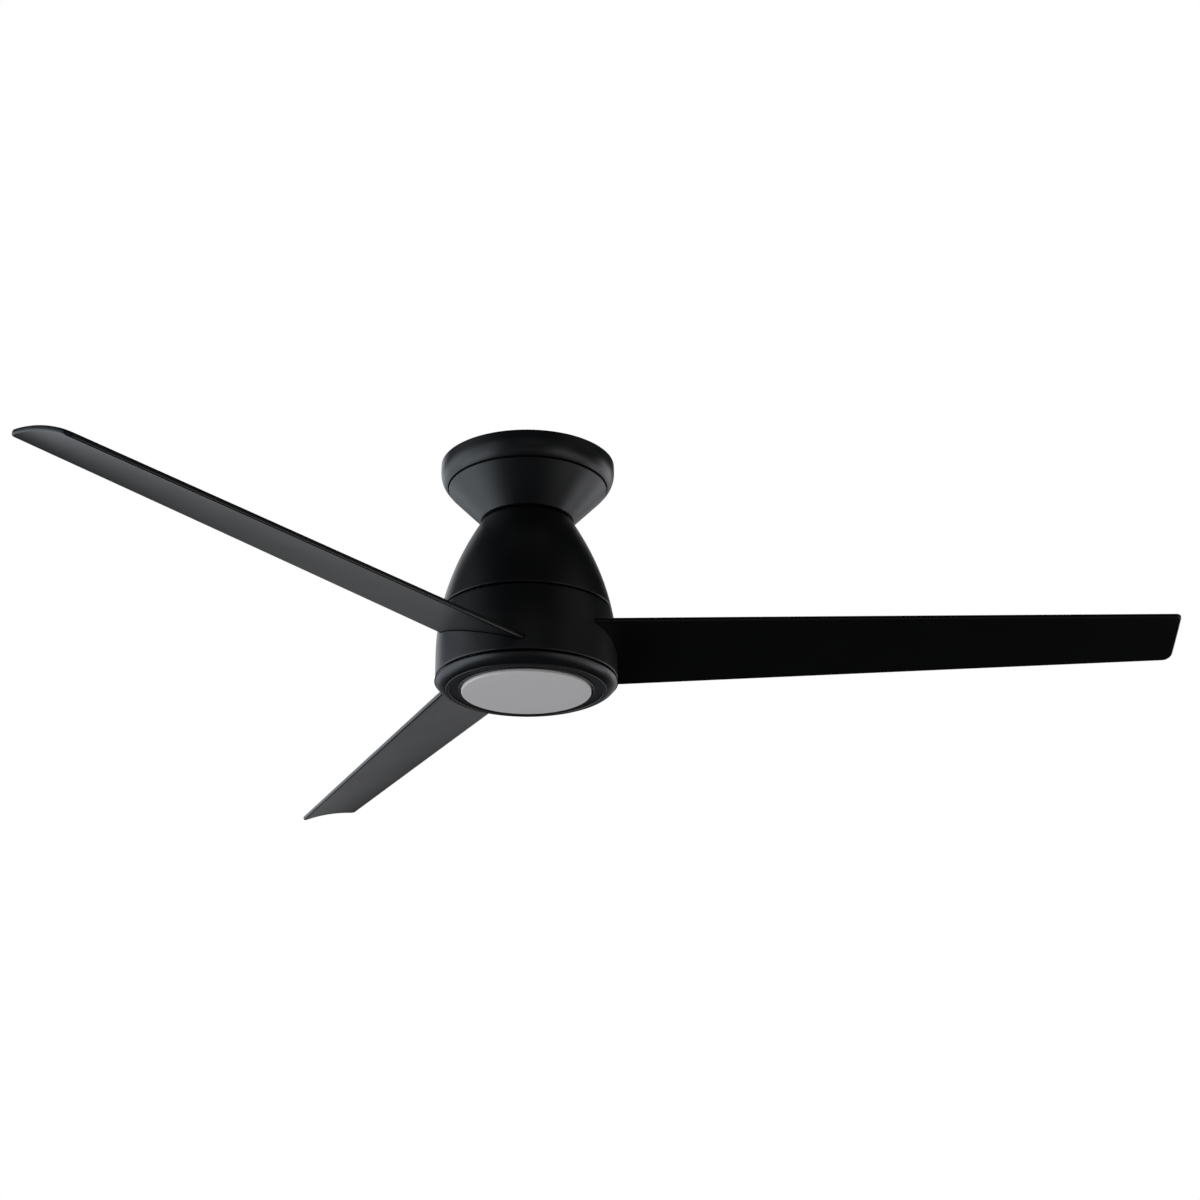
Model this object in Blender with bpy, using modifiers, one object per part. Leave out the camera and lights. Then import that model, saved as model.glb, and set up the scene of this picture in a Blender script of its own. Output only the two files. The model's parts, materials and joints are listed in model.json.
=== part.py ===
"""A flush-mount ceiling fan with a light, as an assembly of separate pieces.

Metres, +Z up. The origin is on the spin axis in the plane of the ceiling, and the first blade
points along +X. Everything that turns hangs on the empty "spin_axis"; the rest is fixed.
"""

import math

import bmesh
import bpy
from mathutils import Matrix, Vector

# Driving dimensions ---------------------------------------------------------------------------

GAP = 0.0003            # between pieces that touch
ROUND = 32              # steps around a visible shell
ROUND_SMALL = 18        # steps around an inner turned piece
ROUND_TINY = 8          # steps around a screw or a post

SWEEP_RADIUS = 0.6604   # axis to blade tip: a 52 inch fan
BLADE_COUNT = 3
BLADE_Z = -0.2175       # underside of the blades where their centre line meets the axis
BLADE_PITCH = math.radians(15.9)
BLADE_THICKNESS = 0.005
BLADE_ROOT = 0.060
BLADE_HIGH_EDGE = (0.0604, 0.0627)   # half width on the axis, and how much it loses per metre
BLADE_LOW_EDGE = (0.0588, 0.0063)
BLADE_TIP_CORNERS = (0.0055, 0.009)  # rounding of the high and the low corner
BLADE_TIP_SKEW = 0.0033              # how much shorter the low corner of the tip is
BLADE_TIP_BOW = 0.0016
BLADE_TIP_CAMBER = 0.004
BLADE_TIP_DROOP = 0.0008
SLOT_CLEARANCE = 0.0005

BODY_RADIUS = 0.0948                 # widest part of the motor housing
BODY_WAIST_Z = -0.2172               # below this height the housing is straight
BODY_TAPER = 2.06                    # radius lost per metre of height, squared, above it
BODY_WALL = 0.003

RIM_RADIUS = 0.0933                  # canopy ring
RIM_BOTTOM_Z = -0.026
RIM_LIP_RADIUS = 0.0853
CONE_TOP_RADIUS = 0.0840
CONE_SHOULDER_Z = -0.0293
CONE_BOTTOM_RADIUS = 0.0496
CONE_BOTTOM_Z = -0.0646
SHEET = 0.0016                       # wall of the canopy pieces

DOME_TOP_Z = -0.0660
DOME_BOTTOM_Z = -0.1688
ROTOR_TOP_Z = -0.1703
ROTOR_BOTTOM_Z = -0.2434
ROTOR_LIP_RADIUS = 0.0800            # wall inside the middle seam
ROTOR_LIP_Z = -0.1665
WEB_THICKNESS = 0.003                # floor of the rotor body, under the motor

LIGHT_TOP_Z = -0.2449
LIGHT_RADIUS = 0.0960
LIGHT_EDGE_RADIUS = 0.0844
LIGHT_EDGE_Z = -0.2554
LIGHT_BEAD_RADIUS = 0.0140
LIGHT_LIP_RADIUS = 0.0865            # wall inside the lower seam
LENS_RADIUS = 0.0676
LENS_FACE_RADIUS = 0.0643
LENS_BOTTOM_Z = -0.2585

BRACKET_RADIUS = 0.088
BRACKET_THICKNESS = 0.0024
BRACKET_HOLE = 0.024
POST_CIRCLE = 0.036
POST_ANGLES = (60, 180, 300)
HANGER_Z = -0.0523                   # top of the hanger plate
HANGER_THICKNESS = 0.003

SHAFT_RADIUS = 0.010
SHAFT_BORE = 0.0065
SHAFT_TOP_Z = -0.041
SHAFT_BOTTOM_Z = -0.2387
COLLAR_RADIUS = 0.020

MOTOR_RADIUS = 0.068
MOTOR_TOP_Z = -0.119
MOTOR_PLATE_Z = -0.1663              # top of the end plate's flange
MOTOR_BOTTOM_Z = -0.172
STATOR_TOP_Z = -0.130
STATOR_BOTTOM_Z = -0.154
STATOR_TEETH = 9
BEARING_INNER = 0.0125
BEARING_OUTER = 0.018

HOLDER_SCREW_CIRCLE = 0.0615         # screws from the blade holders into the motor
HOLDER_HOLE = 0.0023
HOLDER_FOOT = 0.003
BLADE_SCREW_X = 0.071
BLADE_SCREW_Y = 0.014
BLADE_SCREW_HOLE = 0.0023

LIGHT_PLATE_Z = -0.239               # top of the light mounting plate
LIGHT_SCREW_CIRCLE = 0.078
LIGHT_SCREW_HOLE = 0.0020
LIGHT_SCREW_ANGLES = (30, 150, 270)
LEAD_HOLE = 0.004
LEAD_HOLE_Y = 0.052

# Scene, finishes and links --------------------------------------------------------------------

for old in list(bpy.data.objects):
    bpy.data.objects.remove(old, do_unlink=True)

PARTS = bpy.data.collections.new("ceiling_fan")
CUTTERS = bpy.data.collections.new("cutters")
for group in (PARTS, CUTTERS):
    bpy.context.scene.collection.children.link(group)

SPIN_AXIS = bpy.data.objects.new("spin_axis", None)
SPIN_AXIS.location = (0, 0, BLADE_Z)
PARTS.objects.link(SPIN_AXIS)
bpy.context.view_layer.update()

FINISHES = {
    "black_coat": ((0.012, 0.013, 0.015), 0.45, 0.0),
    "blade_black": ((0.010, 0.010, 0.011), 0.40, 0.0),
    "retainer_black": ((0.016, 0.016, 0.018), 0.55, 0.0),
    "opal": ((0.62, 0.62, 0.63), 0.35, 0.0),
    "zinc_steel": ((0.55, 0.56, 0.58), 0.35, 1.0),
    "cast_aluminium": ((0.66, 0.67, 0.69), 0.45, 1.0),
    "bearing_steel": ((0.60, 0.60, 0.62), 0.20, 1.0),
    "core_steel": ((0.30, 0.31, 0.33), 0.50, 1.0),
    "copper": ((0.72, 0.34, 0.18), 0.30, 1.0),
    "magnet": ((0.06, 0.06, 0.065), 0.55, 0.0),
    "rubber": ((0.02, 0.02, 0.02), 0.80, 0.0),
    "box_plastic": ((0.03, 0.03, 0.032), 0.55, 0.0),
    "white_plastic": ((0.75, 0.75, 0.73), 0.45, 0.0),
    "board_white": ((0.80, 0.80, 0.78), 0.50, 0.0),
    "cable_grey": ((0.25, 0.25, 0.26), 0.55, 0.0),
    "earth_green": ((0.10, 0.42, 0.08), 0.50, 0.0),
}


def finish(slot):
    """The slot's material, made the first time it is asked for."""
    found = bpy.data.materials.get(slot)
    if found:
        return found
    colour, roughness, metallic = FINISHES[slot]
    made = bpy.data.materials.new(slot)
    made.use_nodes = True
    shader = made.node_tree.nodes["Principled BSDF"]
    shader.inputs["Base Color"].default_value = (*colour, 1)
    shader.inputs["Roughness"].default_value = roughness
    shader.inputs["Metallic"].default_value = metallic
    return made


def add(name, data, slot, spins=False):
    """Links a new object; a piece that spins hangs on the spin axis and keeps its world place."""
    piece = bpy.data.objects.new(name, data)
    if not data.materials:
        data.materials.append(finish(slot))
    PARTS.objects.link(piece)
    if spins:
        piece.parent = SPIN_AXIS
        piece.matrix_parent_inverse = Matrix.Translation((0, 0, -BLADE_Z))
    return piece


def mesh_from(name, shape):
    """A mesh holding the bmesh, with its faces pointing out."""
    bmesh.ops.recalc_face_normals(shape, faces=shape.faces)
    mesh = bpy.data.meshes.new(name)
    shape.to_mesh(mesh)
    shape.free()
    return mesh


# Modelling helpers ----------------------------------------------------------------------------


def turned(name, profile, slot, steps=ROUND_SMALL, spins=False):
    """Revolves (radius, z) points. They run down the outer side; a profile that starts and ends
    on the axis stays open there, and any other is closed into a loop."""
    mesh = bpy.data.meshes.new(name)
    count = len(profile)
    edges = [(i, i + 1) for i in range(count - 1)]
    if profile[0][0] > 0:
        edges.append((count - 1, 0))
    mesh.from_pydata([(r, 0, z) for r, z in profile], edges, [])
    piece = add(name, mesh, slot, spins)
    screw = piece.modifiers.new("Screw", "SCREW")
    screw.axis = "Z"
    screw.angle = math.tau
    screw.steps = screw.render_steps = steps
    screw.use_merge_vertices = True
    screw.merge_threshold = 0.00001
    return piece


def tube_profile(inner, outer, top, bottom):
    return [(inner, top), (outer, top), (outer, bottom), (inner, bottom)]


def disc_profile(outer, top, bottom):
    return [(0, top), (outer, top), (outer, bottom), (0, bottom)]


def cube_mesh(name, low, high):
    shape = bmesh.new()
    bmesh.ops.create_cube(shape, size=1)
    low, high = Vector(low), Vector(high)
    bmesh.ops.scale(shape, vec=high - low, verts=shape.verts)
    bmesh.ops.translate(shape, vec=(low + high) / 2, verts=shape.verts)
    return mesh_from(name, shape)


def cylinder_mesh(name, radius, bottom, top, steps=ROUND_TINY, top_radius=None):
    """An upright cylinder, or a cone when the top radius differs, about its own Z axis."""
    shape = bmesh.new()
    bmesh.ops.create_cone(
        shape, cap_ends=True, segments=steps, radius1=radius,
        radius2=radius if top_radius is None else top_radius, depth=top - bottom,
    )
    bmesh.ops.translate(shape, vec=(0, 0, (top + bottom) / 2), verts=shape.verts)
    return mesh_from(name, shape)


def bevel(piece, width, segments=2):
    modifier = piece.modifiers.new("Bevel", "BEVEL")
    modifier.width = width
    modifier.segments = segments
    modifier.limit_method = "ANGLE"
    modifier.angle_limit = math.radians(50)


def boolean(piece, mesh, operation, matrix=None):
    """Cuts the mesh from the piece, or joins it to the piece; matrix places it in the world.
    Returns the cutter, which may take modifiers of its own."""
    tool = bpy.data.objects.new(f"{piece.name}_{operation.lower()}", mesh)
    tool.hide_render = True
    tool.display_type = "WIRE"
    tool.matrix_world = matrix or Matrix.Identity(4)
    CUTTERS.objects.link(tool)
    modifier = piece.modifiers.new(operation.title(), "BOOLEAN")
    modifier.operation = operation
    modifier.solver = "EXACT"
    modifier.object = tool
    return tool


def around(angle_deg, radius=0.0, z=0.0):
    """A place on a circle about the axis, turned to face outwards along its own +X."""
    turn = Matrix.Rotation(math.radians(angle_deg), 4, "Z")
    return turn @ Matrix.Translation((radius, 0, z))


def screw_mesh(name, head_radius, head, shank_radius, shank):
    """A pan-head screw that points up from its head's underside at z = 0."""
    shape = bmesh.new()
    steps = ROUND_TINY
    rings = [(head_radius * 0.72, -head), (head_radius, -head * 0.55), (head_radius, 0),
             (shank_radius, 0), (shank_radius, shank)]
    loops = []
    for radius, z in rings:
        loops.append([
            shape.verts.new((radius * math.cos(a), radius * math.sin(a), z))
            for a in (math.tau * i / steps for i in range(steps))
        ])
    for lower, upper in zip(loops, loops[1:]):
        for i in range(steps):
            j = (i + 1) % steps
            shape.faces.new((lower[i], lower[j], upper[j], upper[i]))
    shape.faces.new(loops[0])
    shape.faces.new(loops[-1])
    return mesh_from(name, shape)


def cross_recess(piece, matrix, size, depth):
    """Two crossed slots, cut into the face at z = 0 of the given place."""
    for turn in (0, 90):
        slot = cube_mesh("recess", (-size, -size * 0.2, -depth), (size, size * 0.2, 0.002))
        boolean(piece, slot, "DIFFERENCE", matrix @ Matrix.Rotation(math.radians(turn), 4, "Z"))


def smooth_route(points, spacing):
    """Points at about the given spacing on a Catmull-Rom curve through the route."""
    route = [Vector(p) for p in points]
    route = [route[0] * 2 - route[1], *route, route[-1] * 2 - route[-2]]
    out = []
    for a, b, c, d in zip(route, route[1:], route[2:], route[3:]):
        pieces = max(1, round((c - b).length / spacing))
        for i in range(pieces):
            t = i / pieces
            out.append(
                0.5 * (2 * b + (c - a) * t + (2 * a - 5 * b + 4 * c - d) * t ** 2
                       + (3 * b - a - 3 * c + d) * t ** 3)
            )
    return [*out, route[-2]]


def cable(name, points, radius, slot):
    """A round cable along the route, with flat ends."""
    curve = bpy.data.curves.new(name, "CURVE")
    curve.dimensions = "3D"
    curve.bevel_depth = radius
    curve.bevel_resolution = 2
    curve.use_fill_caps = True
    route = smooth_route(points, radius * 5)
    spline = curve.splines.new("POLY")
    spline.points.add(len(route) - 1)
    for place, point in zip(spline.points, route):
        place.co = (*point, 1)
    return add(name, curve, slot)


# The housing's outline ------------------------------------------------------------------------


def body_radius(z):
    """Outer radius of the motor housing: a parabola above the waist, straight below it."""
    height = max(0.0, z - BODY_WAIST_Z)
    return BODY_RADIUS - BODY_TAPER * height ** 2


def heights(top, bottom, count):
    return [top + (bottom - top) * i / (count - 1) for i in range(count)]


def arc(centre, radius, start_deg, end_deg, count):
    """Points on an arc in the (radius, z) plane; 0 degrees points outwards and 90 up."""
    angles = [math.radians(start_deg + (end_deg - start_deg) * i / (count - 1)) for i in range(count)]
    return [(centre[0] + radius * math.cos(a), centre[1] + radius * math.sin(a)) for a in angles]


# Ceiling bracket and hanger -------------------------------------------------------------------


def ceiling_bracket():
    """A shallow pan screwed to the ceiling box, with slots for its screws and holes for weight."""
    rim_depth = 0.014
    wall = 0.0018
    pan = turned("ceiling_bracket", [
        (BRACKET_HOLE, 0), (BRACKET_RADIUS - 0.0015, 0), (BRACKET_RADIUS, -0.0015),
        (BRACKET_RADIUS, -rim_depth), (BRACKET_RADIUS - wall, -rim_depth),
        (BRACKET_RADIUS - wall, -BRACKET_THICKNESS), (BRACKET_HOLE, -BRACKET_THICKNESS),
    ], "zinc_steel", ROUND)
    slot_start, slot_end, slot_half = 0.036, 0.050, 0.00275
    for angle in (45, 135, 225, 315):
        slot = cube_mesh("slot", (slot_start, -slot_half, -0.004), (slot_end, slot_half, 0.002))
        boolean(pan, slot, "DIFFERENCE", around(angle))
        for end in (slot_start, slot_end):
            hole = cylinder_mesh("slot_end", slot_half, -0.004, 0.002, ROUND_TINY)
            boolean(pan, hole, "DIFFERENCE", around(angle, end))
    for angle in (15, 105, 195, 285):
        hole = cylinder_mesh("lightening_hole", 0.008, -0.004, 0.002, 24)
        boolean(pan, hole, "DIFFERENCE", around(angle, 0.067))
    for angle in POST_ANGLES:
        hole = cylinder_mesh("post_hole", 0.0023, -0.004, 0.002)
        boolean(pan, hole, "DIFFERENCE", around(angle, POST_CIRCLE))
        sink = cylinder_mesh("countersink", 0.0023, -0.0024, 0.0005, ROUND_TINY, 0.0056)
        boolean(pan, sink, "DIFFERENCE", around(angle, POST_CIRCLE))
    earth_hole = cylinder_mesh("earth_hole", 0.0023, -0.004, 0.002)
    boolean(pan, earth_hole, "DIFFERENCE", around(270, 0.050))


def hanger():
    """Three posts carry the hanger plate, and each is fixed by a countersunk screw."""
    top = -BRACKET_THICKNESS - GAP
    stud_bottom = HANGER_Z - HANGER_THICKNESS - GAP - 0.002
    for number, angle in enumerate(POST_ANGLES, 1):
        place = around(angle, POST_CIRCLE)
        post = turned(f"hanger_post_{number}", [
            (0, top), (0.004, top), (0.004, HANGER_Z + GAP), (0.0025, HANGER_Z + GAP),
            (0.0025, HANGER_Z - HANGER_THICKNESS - GAP), (0.004, HANGER_Z - HANGER_THICKNESS - GAP),
            (0.0032, stud_bottom), (0, stud_bottom),
        ], "zinc_steel", 12)
        post.matrix_world = place
        thread = cylinder_mesh("thread", 0.0023, -0.0145, 0.002)
        boolean(post, thread, "DIFFERENCE", place)
        head_z, tip_z = -0.0002, -0.013
        screw = turned(f"post_screw_{number}", [
            (0, head_z), (0.0040, head_z), (0.0039, -0.0005), (0.0018, -0.0024), (0.0018, tip_z + 0.001),
            (0.0012, tip_z), (0, tip_z),
        ], "bearing_steel", ROUND_TINY)
        screw.matrix_world = place
        cross_recess(screw, around(angle, POST_CIRCLE, head_z), 0.0026, 0.0012)

    plate = turned("hanger_plate", tube_profile(
        COLLAR_RADIUS + 2 * GAP, 0.044, HANGER_Z, HANGER_Z - HANGER_THICKNESS), "zinc_steel")
    for angle in POST_ANGLES:
        hole = cylinder_mesh("post_hole", 0.0028, -0.058, -0.050, 12)
        boolean(plate, hole, "DIFFERENCE", around(angle, POST_CIRCLE))


def shaft_and_collar():
    """The collar rests on the hanger plate and grips the hollow shaft with a set screw."""
    bore = SHAFT_RADIUS + GAP
    flange_bottom = HANGER_Z + GAP
    boss_top = -0.0415
    collar = turned("shaft_collar", [
        (bore, boss_top), (0.016, boss_top), (0.016, flange_bottom + 0.0037),
        (0.028, flange_bottom + 0.0037), (0.028, flange_bottom), (COLLAR_RADIUS, flange_bottom),
        (COLLAR_RADIUS, -0.080), (bore, -0.080),
    ], "cast_aluminium")
    screw_z = -0.045
    pointing_out = Matrix.Translation((0, 0, screw_z)) @ Matrix.Rotation(math.radians(-90), 4, "X")
    boolean(collar, cylinder_mesh("set_hole", 0.0025, 0.008, 0.018), "DIFFERENCE", pointing_out)
    set_screw = add("collar_set_screw", cylinder_mesh("set_screw", 0.0022, 0.0105, 0.0165), "bearing_steel")
    set_screw.matrix_world = pointing_out
    socket = cylinder_mesh("socket", 0.0012, 0.0145, 0.018, 6)
    boolean(set_screw, socket, "DIFFERENCE", pointing_out)

    shaft = turned("motor_shaft", tube_profile(
        SHAFT_BORE, SHAFT_RADIUS, SHAFT_TOP_Z, SHAFT_BOTTOM_Z), "bearing_steel")
    motor_window = cube_mesh("window", (0.003, -0.0035, -0.1298), (0.014, 0.0035, -0.1206))
    light_window = cube_mesh("window", (-0.0035, 0.003, -0.2265), (0.0035, 0.014, -0.2175))
    boolean(shaft, motor_window, "DIFFERENCE")
    boolean(shaft, light_window, "DIFFERENCE")

    spacer_top = HANGER_Z - HANGER_THICKNESS - GAP
    inner = COLLAR_RADIUS + GAP
    turned("neck_spacer", tube_profile(inner, 0.031, spacer_top, -0.0627), "zinc_steel")
    turned("neck_gasket", tube_profile(inner, 0.042, -0.0649, -0.0657), "rubber")
    nut_top, nut_bottom = -0.0685, -0.0760
    nut = add("dome_nut", cylinder_mesh("dome_nut", 0.030, nut_bottom, nut_top, 6), "zinc_steel")
    bore = cylinder_mesh("nut_bore", inner + GAP, nut_bottom - 0.002, nut_top + 0.002, ROUND_SMALL)
    boolean(nut, bore, "DIFFERENCE")


# Canopy and dome ------------------------------------------------------------------------------


def canopy():
    """A rounded ring against the ceiling, and a funnel that tucks up inside it."""
    outer = [
        (RIM_RADIUS, 0), (RIM_RADIUS, -0.0085), (0.0927, -0.0132), (0.0913, -0.0180),
        (0.0890, -0.0226), (0.0862, RIM_BOTTOM_Z + 0.0001),
    ]
    inner = [
        (RIM_LIP_RADIUS, RIM_BOTTOM_Z), (RIM_LIP_RADIUS, -0.0244), (0.0876, -0.0215),
        (0.0899, -0.0168), (0.0917, -0.0085), (0.0917, 0),
    ]
    turned("canopy_ring", outer + inner, "black_coat", ROUND)

    slope_inset = SHEET * math.sqrt(2)
    turned("canopy_cone", [
        (CONE_TOP_RADIUS - SHEET, -0.0215), (CONE_TOP_RADIUS, -0.0215),
        (CONE_TOP_RADIUS, -0.0272), (CONE_TOP_RADIUS - 0.0006, CONE_SHOULDER_Z),
        (CONE_BOTTOM_RADIUS + 0.0006, CONE_BOTTOM_Z + 0.0010), (CONE_BOTTOM_RADIUS, CONE_BOTTOM_Z),
        (COLLAR_RADIUS + GAP, CONE_BOTTOM_Z), (COLLAR_RADIUS + GAP, CONE_BOTTOM_Z + SHEET),
        (CONE_BOTTOM_RADIUS - 0.0012, CONE_BOTTOM_Z + SHEET),
        (CONE_TOP_RADIUS - slope_inset, CONE_SHOULDER_Z + 0.0003),
        (CONE_TOP_RADIUS - SHEET, -0.0272),
    ], "black_coat", ROUND)


def dome():
    """The upper motor housing, from its flat top at the neck down to the seam."""
    wall = 0.0022
    edge = body_radius(DOME_TOP_Z)
    sides = [(body_radius(z), z) for z in heights(DOME_TOP_Z - 0.0016, DOME_BOTTOM_Z, 8)]
    inside = [(r - wall, z) for r, z in reversed(sides[1::2])]
    turned("dome_shell", [
        (COLLAR_RADIUS + GAP, DOME_TOP_Z), (edge - 0.0012, DOME_TOP_Z),
        *sides, *inside,
        (edge - wall, DOME_TOP_Z - wall), (COLLAR_RADIUS + GAP, DOME_TOP_Z - wall),
    ], "black_coat", ROUND)


# Motor ----------------------------------------------------------------------------------------


def bearing(name, top, bottom):
    """Inner race on the shaft, shielded outer race in the rotor."""
    turned(f"{name}_inner_race", tube_profile(SHAFT_RADIUS + GAP, BEARING_INNER, top, bottom), "bearing_steel")
    turned(f"{name}_outer_race", tube_profile(
        BEARING_INNER + 0.0004, BEARING_OUTER, top, bottom), "bearing_steel", spins=True)


def motor():
    seat = BEARING_OUTER + GAP
    lip = 0.015
    boss = 0.022
    turned("motor_can", [
        (seat, -0.1125), (boss, -0.1125), (boss, MOTOR_TOP_Z), (MOTOR_RADIUS - 0.002, MOTOR_TOP_Z),
        (MOTOR_RADIUS, MOTOR_TOP_Z - 0.002), (MOTOR_RADIUS, MOTOR_PLATE_Z + GAP),
        (MOTOR_RADIUS - 0.002, MOTOR_PLATE_Z + GAP), (MOTOR_RADIUS - 0.002, MOTOR_TOP_Z - 0.0025),
        (lip, MOTOR_TOP_Z - 0.0025), (lip, MOTOR_TOP_Z - 0.0013), (seat, MOTOR_TOP_Z - 0.0013),
    ], "cast_aluminium", ROUND, spins=True)
    turned("magnet_ring", tube_profile(
        0.0630, MOTOR_RADIUS - 0.002 - GAP, STATOR_TOP_Z + 0.001, STATOR_BOTTOM_Z - 0.001),
        "magnet", ROUND, spins=True)
    end_plate = turned("motor_end_plate", [
        (seat, -0.1595), (boss, -0.1595), (boss, MOTOR_PLATE_Z), (MOTOR_RADIUS, MOTOR_PLATE_Z),
        (MOTOR_RADIUS, MOTOR_BOTTOM_Z), (lip, MOTOR_BOTTOM_Z), (lip, MOTOR_BOTTOM_Z + 0.0012),
        (seat, MOTOR_BOTTOM_Z + 0.0012),
    ], "cast_aluminium", ROUND_SMALL, spins=True)
    for number in range(BLADE_COUNT):
        hole = cylinder_mesh("thread", HOLDER_HOLE, MOTOR_BOTTOM_Z - 0.002, MOTOR_BOTTOM_Z + 0.0045)
        boolean(end_plate, hole, "DIFFERENCE", around(number * 120, HOLDER_SCREW_CIRCLE))
    bearing("upper_bearing", -0.1130, MOTOR_TOP_Z - 0.0013 + GAP)
    bearing("lower_bearing", -0.1600, MOTOR_BOTTOM_Z + 0.0012 + GAP)
    stator()


def stator():
    """A laminated core with a tooth for each coil. The coils are wound as one length of wire,
    so a thin ring joins them."""
    hub, tooth_half, tooth_end, tip_radius = 0.028, 0.0045, 0.0610, 0.0623
    collar = 0.0003
    core = turned("stator_core", tube_profile(
        SHAFT_RADIUS + GAP, hub, STATOR_TOP_Z + collar, STATOR_BOTTOM_Z - collar), "core_steel", 27)
    shoe = 0.0025
    for number in range(STATOR_TEETH):
        place = around(number * 360 / STATOR_TEETH)
        tooth = cube_mesh("tooth", (hub - 0.003, -tooth_half, STATOR_BOTTOM_Z),
                          (tooth_end, tooth_half, STATOR_TOP_Z))
        boolean(core, tooth, "UNION", place)
        tip = shoe_mesh(tip_radius, shoe, math.radians(16), STATOR_BOTTOM_Z, STATOR_TOP_Z)
        boolean(core, tip, "UNION", place)

    ring_radius, ring_z, wire = 0.0335, STATOR_TOP_Z + 0.0043, 0.0010
    windings = turned("stator_windings", [
        (ring_radius, ring_z + wire), (ring_radius + wire, ring_z), (ring_radius, ring_z - wire),
        (ring_radius - wire, ring_z),
    ], "copper", 27)
    for number in range(STATOR_TEETH):
        coil = coil_mesh(tooth_half + GAP, 0.0036, 0.0315, 0.0530)
        boolean(windings, coil, "UNION", around(number * 360 / STATOR_TEETH))


def shoe_mesh(radius, thickness, half_angle, bottom, top):
    """The curved shoe at the end of a tooth: a sector of a ring."""
    shape = bmesh.new()
    steps = 3
    outline = []
    for i in range(steps + 1):
        a = -half_angle + 2 * half_angle * i / steps
        outline.append((radius * math.cos(a), radius * math.sin(a)))
    for i in reversed(range(steps + 1)):
        a = -half_angle + 2 * half_angle * i / steps
        inner = radius - thickness
        outline.append((inner * math.cos(a), inner * math.sin(a)))
    face = shape.faces.new([shape.verts.new((x, y, bottom)) for x, y in outline])
    side = bmesh.ops.extrude_face_region(shape, geom=[face])
    lifted = [v for v in side["geom"] if isinstance(v, bmesh.types.BMVert)]
    bmesh.ops.translate(shape, vec=(0, 0, top - bottom), verts=lifted)
    return mesh_from("shoe", shape)


def coil_mesh(half_width, depth, start, end):
    """A coil around one tooth: a rounded rectangle of wire, swept along the tooth."""
    low, high = STATOR_BOTTOM_Z - GAP, STATOR_TOP_Z + GAP
    middle, half_height = (low + high) / 2, (high - low) / 2

    def loop(offset, corner):
        points = []
        for cy, cz, first in ((1, 1, 0), (-1, 1, 90), (-1, -1, 180), (1, -1, 270)):
            for step in range(2):
                a = math.radians(first + 90 * step)
                points.append((cy * (half_width + offset - corner) + corner * math.cos(a),
                               cz * (half_height + offset - corner) + corner * math.sin(a)))
        return points

    shape = bmesh.new()
    rings = []
    for outline, x in ((loop(depth, depth), start), (loop(depth, depth), end),
                       (loop(0, 0.0002), end), (loop(0, 0.0002), start)):
        rings.append([shape.verts.new((x, y, middle + z)) for y, z in outline])
    for first, second in zip(rings, rings[1:] + rings[:1]):
        for i in range(len(first)):
            j = (i + 1) % len(first)
            shape.faces.new((first[i], first[j], second[j], second[i]))
    return mesh_from("coil", shape)


# Blades, their holders and the rotor body -----------------------------------------------------

WEB_TOP_Z = MOTOR_BOTTOM_Z - GAP
WEB_BOTTOM_Z = WEB_TOP_Z - WEB_THICKNESS
HOLDER_FOOT_Z = WEB_BOTTOM_Z - GAP


def blade_place(number):
    """A blade's own frame: X along the blade, Y towards its low edge, Z square to its face."""
    turn = Matrix.Rotation(math.tau * number / BLADE_COUNT, 4, "Z")
    return turn @ Matrix.Translation((0, 0, BLADE_Z)) @ Matrix.Rotation(-BLADE_PITCH, 4, "X")


def tip_shift(across):
    """How far the tip line lies from the full radius, across the blade from 0 (high) to 1 (low)."""
    return -BLADE_TIP_SKEW * across + 4 * BLADE_TIP_BOW * across * (1 - across)


def blade_edges(x):
    """Where the blade's high and low edges lie at x, before its tip's corners are rounded."""
    return -(BLADE_HIGH_EDGE[0] - BLADE_HIGH_EDGE[1] * x), BLADE_LOW_EDGE[0] - BLADE_LOW_EDGE[1] * x


def corner_inset(x, corner):
    """How far a rounded corner of the tip draws its edge in at x."""
    past = max(0.0, x - (SWEEP_RADIUS - corner))
    return corner - math.sqrt(max(0.0, corner ** 2 - past ** 2))


def blade_sheet(name, across_steps, stations, margin=0.0):
    """The blade's underside as an open sheet, arched a little more towards the tip."""
    length = SWEEP_RADIUS - BLADE_ROOT
    shape = bmesh.new()
    rows = []
    for x in stations:
        high, low = blade_edges(x)
        high_corner, low_corner = (corner_inset(x, corner) for corner in BLADE_TIP_CORNERS)
        first, last = high - margin + high_corner, low + margin - low_corner
        along = (x - BLADE_ROOT) / length
        row = []
        for i in range(across_steps + 1):
            y = first + (last - first) * i / across_steps
            across = (y - high) / (low - high)
            arch = 4 * BLADE_TIP_CAMBER * along * across * (1 - across) - BLADE_TIP_DROOP * along ** 2
            row.append(shape.verts.new((x + along * tip_shift(across), y, arch - margin)))
        rows.append(row)
    for first, second in zip(rows, rows[1:]):
        for i in range(across_steps):
            shape.faces.new((first[i], second[i], second[i + 1], first[i + 1]))
    mesh = bpy.data.meshes.new(name)
    shape.to_mesh(mesh)
    shape.free()
    return mesh


def thicken(piece, thickness):
    """Gives the sheet its thickness on the upper side."""
    solidify = piece.modifiers.new("Solidify", "SOLIDIFY")
    solidify.thickness = thickness
    solidify.offset = 1


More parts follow.
